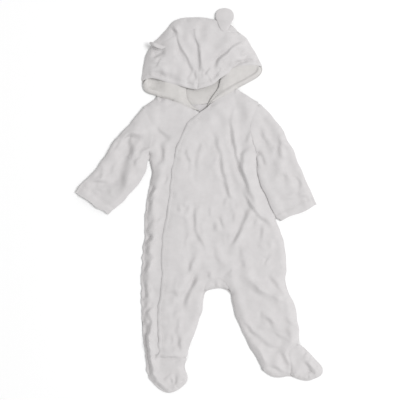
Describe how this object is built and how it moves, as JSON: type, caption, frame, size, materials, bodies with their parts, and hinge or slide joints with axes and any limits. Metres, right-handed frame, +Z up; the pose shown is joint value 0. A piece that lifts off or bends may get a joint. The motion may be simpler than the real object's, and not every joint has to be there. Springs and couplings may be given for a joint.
{
  "type": "sleepsuit",
  "caption": "Baby's white velour hooded sleepsuit laid flat face up, with a wrap-over front, long sleeves, closed feet and round ears on the hood",
  "frame": {"origin": "middle of the laid-out suit, on the surface it lies on", "axes": "+Z up from the surface, +Y from the feet to the hood, +X to the right as seen from above"},
  "size_m": [0.497, 0.7692, 0.0463],
  "materials": {
    "velour": "short soft cut pile, matt white with a slight sheen at grazing angles",
    "lining": "smooth matt cotton jersey, slightly warmer white"
  },
  "bodies": {
    "root": {"back_body": "velour", "front_upper_right": "velour", "front_lower_left": "velour", "crotch_gusset": "velour", "sleeve_left": "velour", "sleeve_right": "velour", "foot_upper_left": "velour", "foot_upper_right": "velour", "foot_sole_left": "velour", "foot_sole_right": "velour", "hood_back": "lining", "hood_back_over": "velour", "hood_crown_left": "velour", "hood_crown_right": "velour", "hood_lip_left": "lining", "hood_lip_right": "lining", "ear_left": "velour", "ear_right": "velour"}
  },
  "joints": []
}
